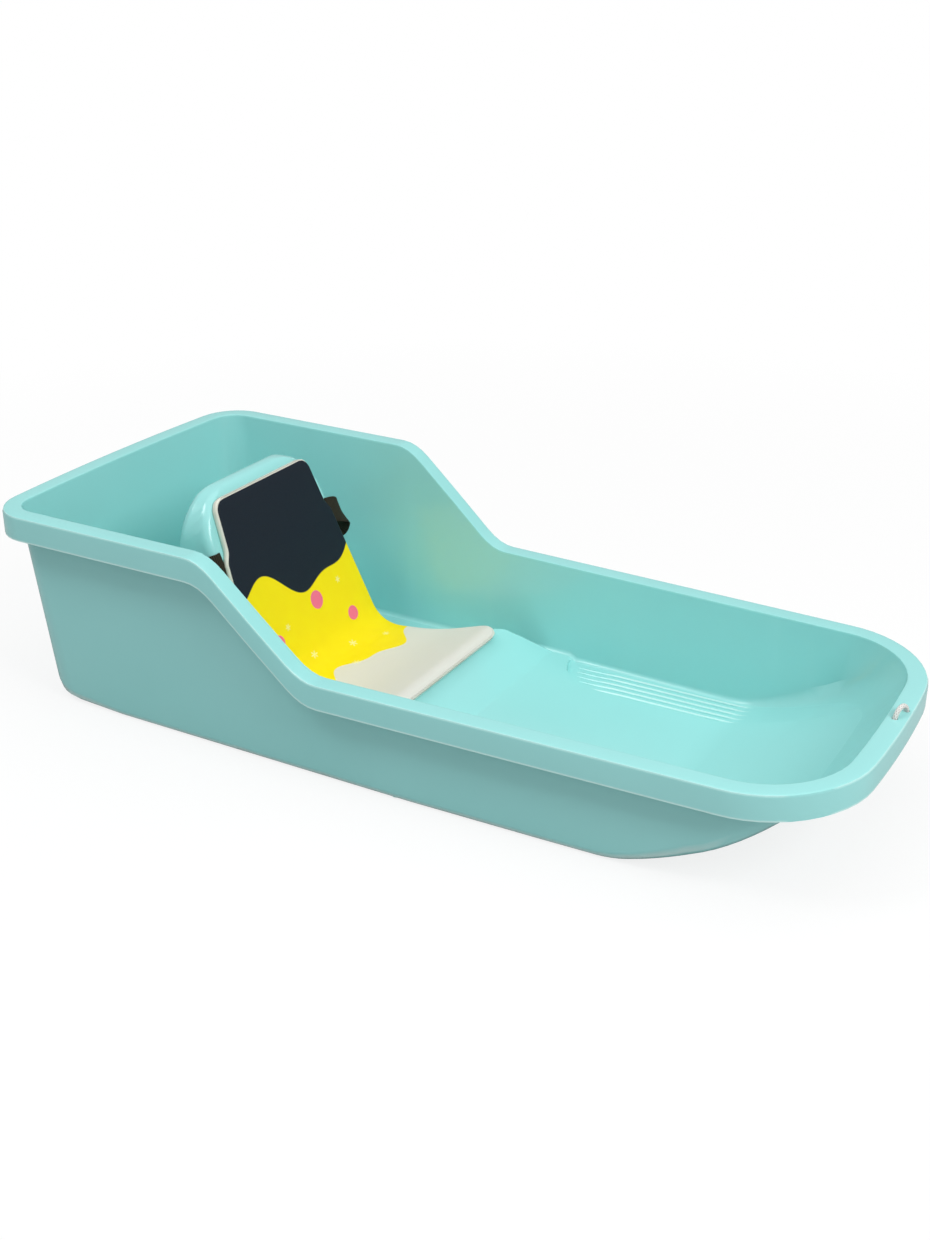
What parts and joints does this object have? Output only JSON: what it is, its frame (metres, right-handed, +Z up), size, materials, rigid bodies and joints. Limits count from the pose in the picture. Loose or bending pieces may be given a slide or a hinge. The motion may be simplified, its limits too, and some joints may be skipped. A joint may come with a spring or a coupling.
{
  "type": "baby pull sled",
  "caption": "One-piece moulded tub sled with a built-in seat and backrest, a strapped-on foam seat pad and a tow cord at the upturned bow.",
  "frame": {"origin": "on the ground under the middle of the sled's length and width", "axes": "+X towards the bow, +Y to the left as one sits in the sled, +Z up"},
  "size_m": [0.888, 0.3988, 0.222],
  "materials": {
    "tub_plastic": "pale aqua blow-moulded plastic, satin",
    "foam": "cream closed-cell foam, matt",
    "printed_cover": "printed film on foam: dark blue, yellow and pale grey fields, soft sheen",
    "elastic_band": "dark woven elastic, ribbed",
    "cord": "white braided cord"
  },
  "bodies": {
    "sled": {"sled_shell": "tub_plastic", "tow_cord_stopper_knot": "cord", "tow_cord_run": "cord", "tow_cord_coil": "cord", "tow_cord_end_knot": "cord"},
    "pad": {"seat_pad_foam": "foam", "seat_pad_print": "printed_cover", "pad_strap": "elastic_band"}
  },
  "joints": [
    {"name": "pad_lift", "type": "slide", "parent": "sled", "child": "pad", "axis": [-0.3593, 0, 0.9332], "range_m": [0, 0.25]}
  ]
}
